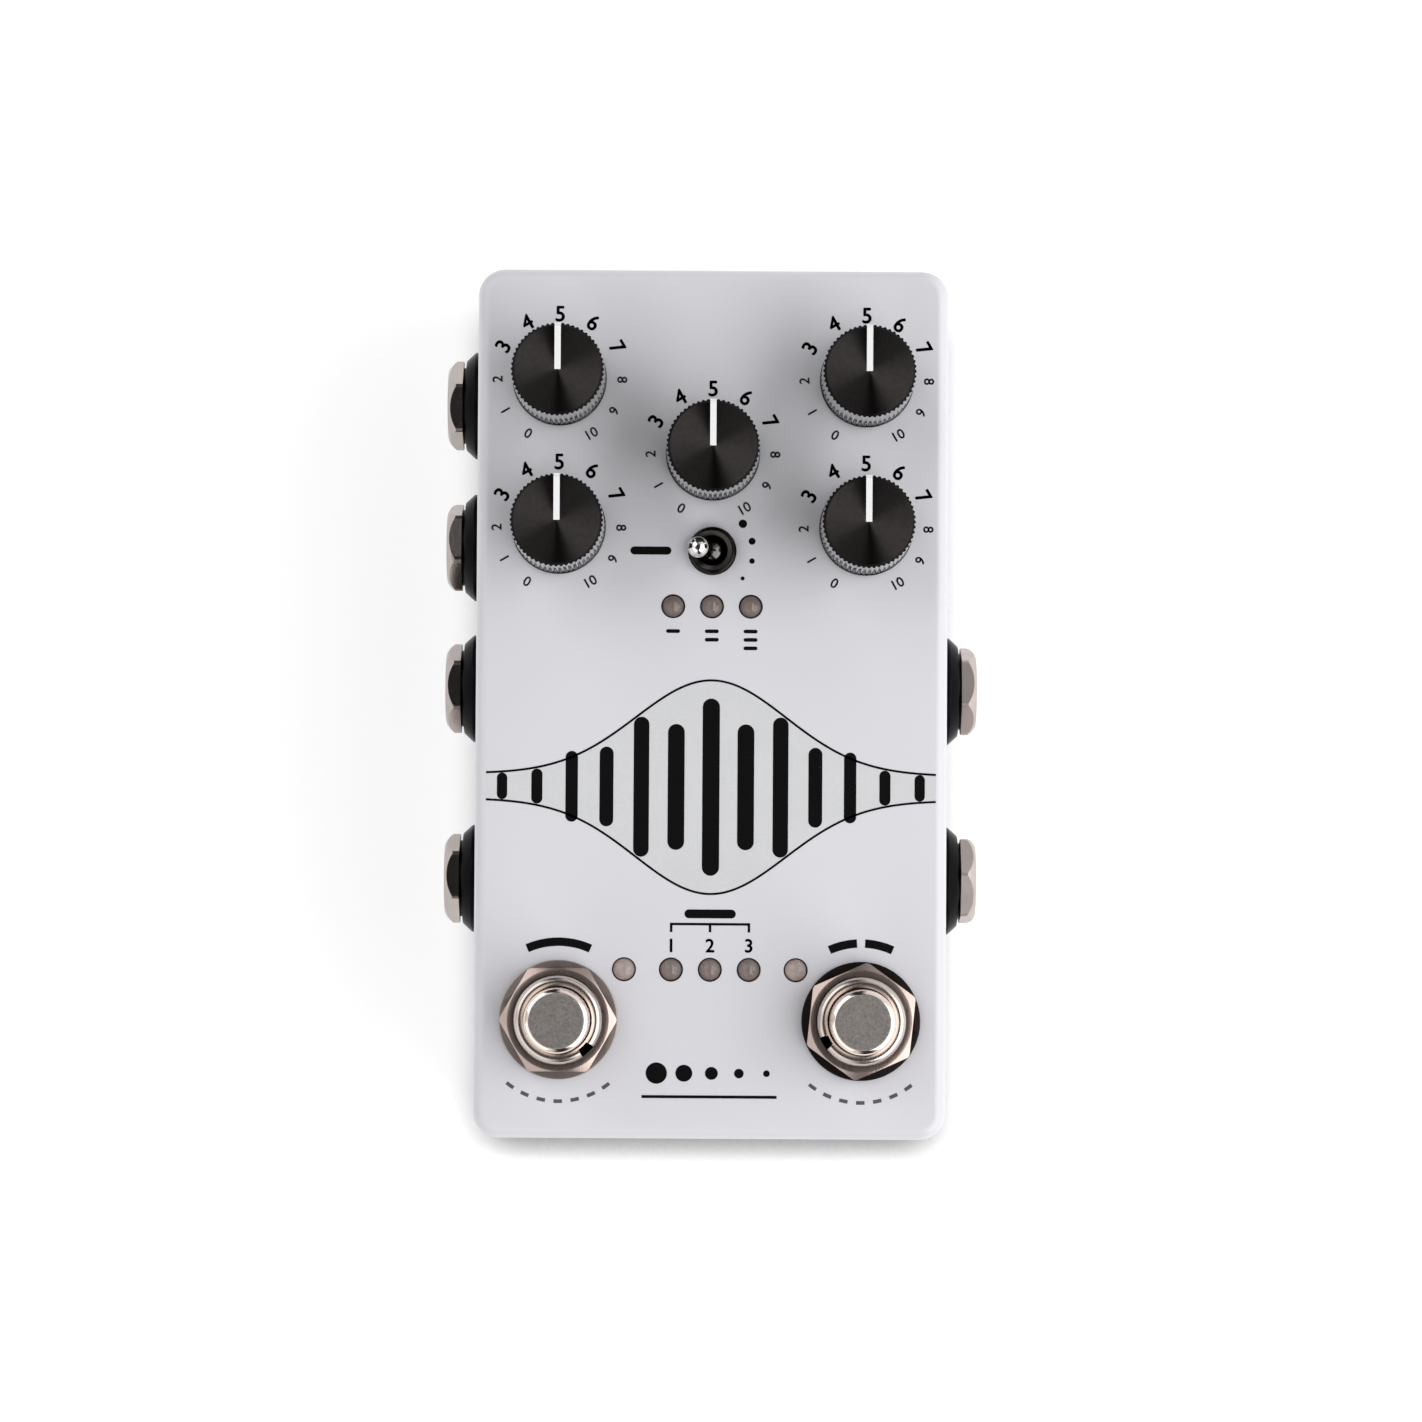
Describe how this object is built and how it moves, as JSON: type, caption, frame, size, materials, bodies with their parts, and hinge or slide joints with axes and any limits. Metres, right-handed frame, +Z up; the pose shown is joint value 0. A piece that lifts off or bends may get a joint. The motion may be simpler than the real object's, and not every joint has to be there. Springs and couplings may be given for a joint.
{
  "type": "delay pedal",
  "caption": "Compact audio delay pedal: drafted die-cast box with knurled turning knobs, a bat toggle, indicator lamps, sprung footswitches and plug jacks in its sides.",
  "frame": {"origin": "on the floor under the middle of the box, level with the undersides of the feet", "axes": "+X to the right of someone who faces the pedal, +Y to its rear, +Z up"},
  "size_m": [0.0742, 0.1204, 0.0554],
  "materials": {
    "box_paint": "light grey powder coat, satin",
    "steel": "zinc plated",
    "foot_rubber": "matte black rubber",
    "knob_black": "black anodised, knurled side, spun top",
    "shaft_metal": "turned",
    "pot_case": "plated",
    "pot_wafer": "phenolic",
    "chrome": "bright plated",
    "toggle_plastic": "moulded",
    "contact_brass": "bright",
    "lens": "clear moulded lens",
    "lead_tin": "tinned",
    "spacer_plastic": "moulded",
    "nickel": "warm nickel plate",
    "washer_nickel": "dark nickel plate",
    "switch_plastic": "moulded",
    "spring_steel": "spring wire",
    "jack_plastic": "moulded",
    "collar_plastic": "moulded",
    "pin_metal": "nickel plate",
    "board": "solder mask",
    "chip": "moulded"
  },
  "bodies": {
    "chassis": {"enclosure_body": "box_paint", "bottom_cover": "box_paint", "cover_screws": "steel", "rubber_feet": "foot_rubber", "time_pot_housing": "pot_case", "blend_pot_housing": "pot_case", "feedback_pot_housing": "pot_case", "rate_pot_housing": "pot_case", "depth_pot_housing": "pot_case", "pot_wafers": "pot_wafer", "toggle_bushing": "chrome", "toggle_housing": "toggle_plastic", "jack_contacts": "contact_brass", "lamp_lenses": "lens", "lamp_leads": "lead_tin", "solder_terminals": "lead_tin", "lamp_spacers": "spacer_plastic", "board_header": "spacer_plastic", "bypass_switch_bushing": "nickel", "tap_switch_bushing": "nickel", "footswitch_nuts": "nickel", "footswitch_lock_nuts": "nickel", "jack_nuts": "nickel", "footswitch_washers": "washer_nickel", "bypass_switch_housing": "switch_plastic", "tap_switch_housing": "switch_plastic", "bypass_return_spring": "spring_steel", "tap_return_spring": "spring_steel", "remote_jack": "jack_plastic", "expression_jack": "jack_plastic", "output_b_jack": "jack_plastic", "output_a_jack": "jack_plastic", "input_b_jack": "jack_plastic", "input_a_jack": "jack_plastic", "power_socket": "jack_plastic", "jack_collars": "collar_plastic", "power_socket_pin": "pin_metal", "main_board": "board", "footswitch_board": "board", "board_chips": "chip"},
    "time_dial": {"time_knob": "knob_black", "time_knob_screw": "steel", "time_pot_shaft": "shaft_metal"},
    "blend_dial": {"blend_knob": "knob_black", "blend_knob_screw": "steel", "blend_pot_shaft": "shaft_metal"},
    "feedback_dial": {"feedback_knob": "knob_black", "feedback_knob_screw": "steel", "feedback_pot_shaft": "shaft_metal"},
    "rate_dial": {"rate_knob": "knob_black", "rate_knob_screw": "steel", "rate_pot_shaft": "shaft_metal"},
    "depth_dial": {"depth_knob": "knob_black", "depth_knob_screw": "steel", "depth_pot_shaft": "shaft_metal"},
    "toggle_lever_body": {"toggle_lever": "chrome"},
    "toggle_rocker_body": {"toggle_rocker": "contact_brass"},
    "bypass_plunger": {"bypass_button": "nickel"},
    "tap_plunger": {"tap_button": "nickel"}
  },
  "joints": [
    {"name": "time_turn", "type": "hinge", "parent": "chassis", "child": "time_dial", "pos_m": [-0.021, 0.0442, 0.0412], "axis": [0, 0, -1], "range_deg": [-150, 150]},
    {"name": "blend_turn", "type": "hinge", "parent": "chassis", "child": "blend_dial", "pos_m": [0.021, 0.0442, 0.0412], "axis": [0, 0, -1], "range_deg": [-150, 150]},
    {"name": "feedback_turn", "type": "hinge", "parent": "chassis", "child": "feedback_dial", "pos_m": [0, 0.03405, 0.0412], "axis": [0, 0, -1], "range_deg": [-150, 150]},
    {"name": "rate_turn", "type": "hinge", "parent": "chassis", "child": "rate_dial", "pos_m": [-0.021, 0.0239, 0.0412], "axis": [0, 0, -1], "range_deg": [-150, 150]},
    {"name": "depth_turn", "type": "hinge", "parent": "chassis", "child": "depth_dial", "pos_m": [0.021, 0.0239, 0.0412], "axis": [0, 0, -1], "range_deg": [-150, 150]},
    {"name": "toggle_throw", "type": "hinge", "parent": "chassis", "child": "toggle_lever_body", "pos_m": [0, 0.0208, 0.0399], "axis": [0, 1, 0], "range_deg": [0, 25]},
    {"name": "rocker_tip", "type": "hinge", "parent": "chassis", "child": "toggle_rocker_body", "pos_m": [0, 0.0208, 0.033], "axis": [0, 1, 0], "range_deg": [-16, 0]},
    {"name": "bypass_press", "type": "slide", "parent": "chassis", "child": "bypass_plunger", "axis": [0, 0, -1], "range_m": [0, 0.0022], "stiffness_N_per_m": 1500, "springref_m": -0.0012, "deforming": ["bypass_return_spring"]},
    {"name": "tap_press", "type": "slide", "parent": "chassis", "child": "tap_plunger", "axis": [0, 0, -1], "range_m": [0, 0.0022], "stiffness_N_per_m": 1500, "springref_m": -0.0012, "deforming": ["tap_return_spring"]}
  ],
  "couplings": [
    {"joint": "rocker_tip", "follows": "toggle_throw", "ratio": -0.64}
  ]
}
